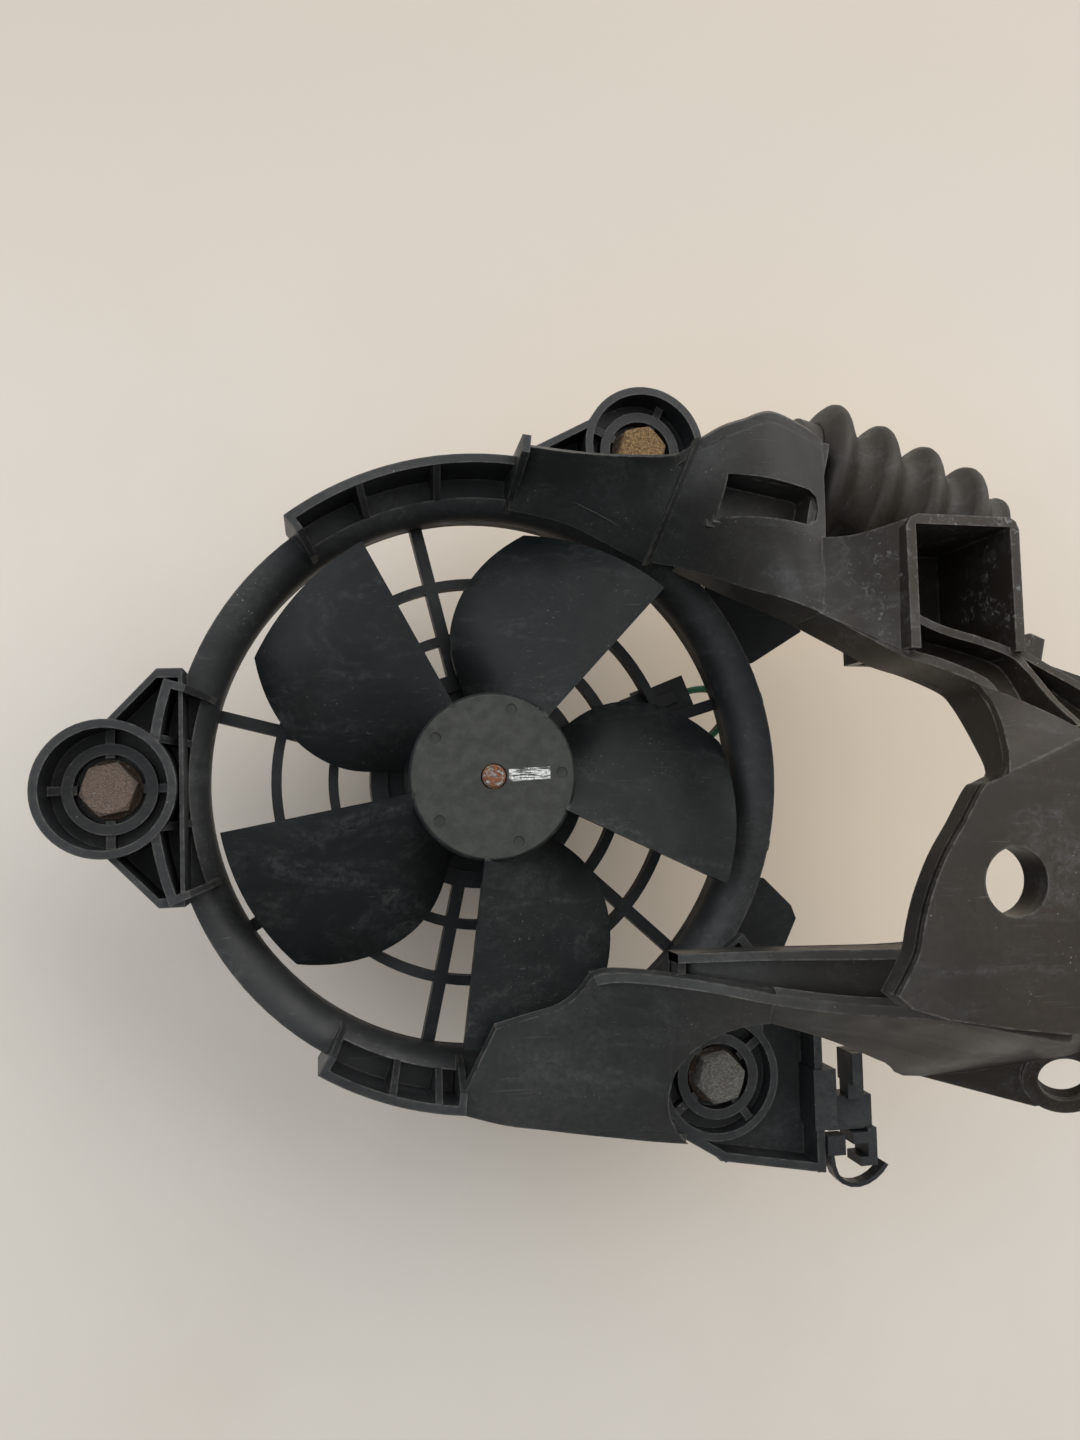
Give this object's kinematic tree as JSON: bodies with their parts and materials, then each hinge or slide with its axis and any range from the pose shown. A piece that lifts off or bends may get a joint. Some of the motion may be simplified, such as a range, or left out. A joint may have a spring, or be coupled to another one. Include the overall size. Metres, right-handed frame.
{
  "type": "radiator cooling fan",
  "caption": "Engine cooling fan for a small motor vehicle: swept-blade impeller on an electric motor, guard behind, moulded ring with bolt bosses and a bracket frame in front",
  "frame": {"origin": "on the fan axis, in the plane where the three mounting bosses seat", "axes": "+Z along the fan axis to the front, where the hub face and bolt heads are; +X to the head plate side; +Y to the side of the top boss"},
  "size_m": [0.2519, 0.2185, 0.148],
  "materials": {
    "ring_plastic": "moulded, dusty",
    "frame_plastic": "moulded, dusty",
    "impeller_plastic": "moulded",
    "guard_plastic": "moulded",
    "insert_brass": "machined",
    "shaft_steel": "rusty end",
    "can_paint": "black paint",
    "bush_bronze": "sintered",
    "cap_plastic": "moulded",
    "magnet_ferrite": "ferrite",
    "core_steel": "laminated",
    "winding_copper": "enamelled copper",
    "commutator_copper": "turned copper",
    "brush_carbon": "pressed carbon",
    "holder_brass": "folded sheet",
    "spring_steel": "wire",
    "screw_steel": "zinc plated",
    "collar_steel": "zinc plated",
    "washer_steel": "stained",
    "bolt_rust": "rusty",
    "boot_rubber": "rubber",
    "plug_plastic": "moulded",
    "terminal_brass": "pressed",
    "wire_green": "insulation",
    "wire_brown": "insulation",
    "grommet_rubber": "rubber",
    "clip_plastic": "moulded",
    "tie_nylon": "nylon"
  },
  "bodies": {
    "housing": {"shroud_ring": "ring_plastic", "bracket_frame": "frame_plastic", "fan_guard": "guard_plastic", "motor_can": "can_paint", "front_bush": "bush_bronze", "rear_bush": "bush_bronze", "motor_end_cap": "cap_plastic", "magnets": "magnet_ferrite", "brushes": "brush_carbon", "brush_holders": "holder_brass", "brush_springs": "spring_steel", "motor_screws": "screw_steel", "boss_collars": "collar_steel", "boss_washers": "washer_steel", "mounting_bolts": "bolt_rust", "bellows_boot": "boot_rubber", "connector_housing": "plug_plastic", "connector_terminals": "terminal_brass", "lead_green": "wire_green", "lead_brown": "wire_brown", "lead_grommet": "grommet_rubber", "harness_clip": "clip_plastic", "cable_tie": "tie_nylon"},
    "rotor": {"impeller": "impeller_plastic", "hub_insert": "insert_brass", "motor_shaft": "shaft_steel", "armature_core": "core_steel", "armature_windings": "winding_copper", "commutator": "commutator_copper"}
  },
  "joints": [
    {"name": "fan_spin", "type": "hinge", "parent": "housing", "child": "rotor", "pos_m": [0, 0, 0], "axis": [0, 0, 1], "continuous": true}
  ]
}
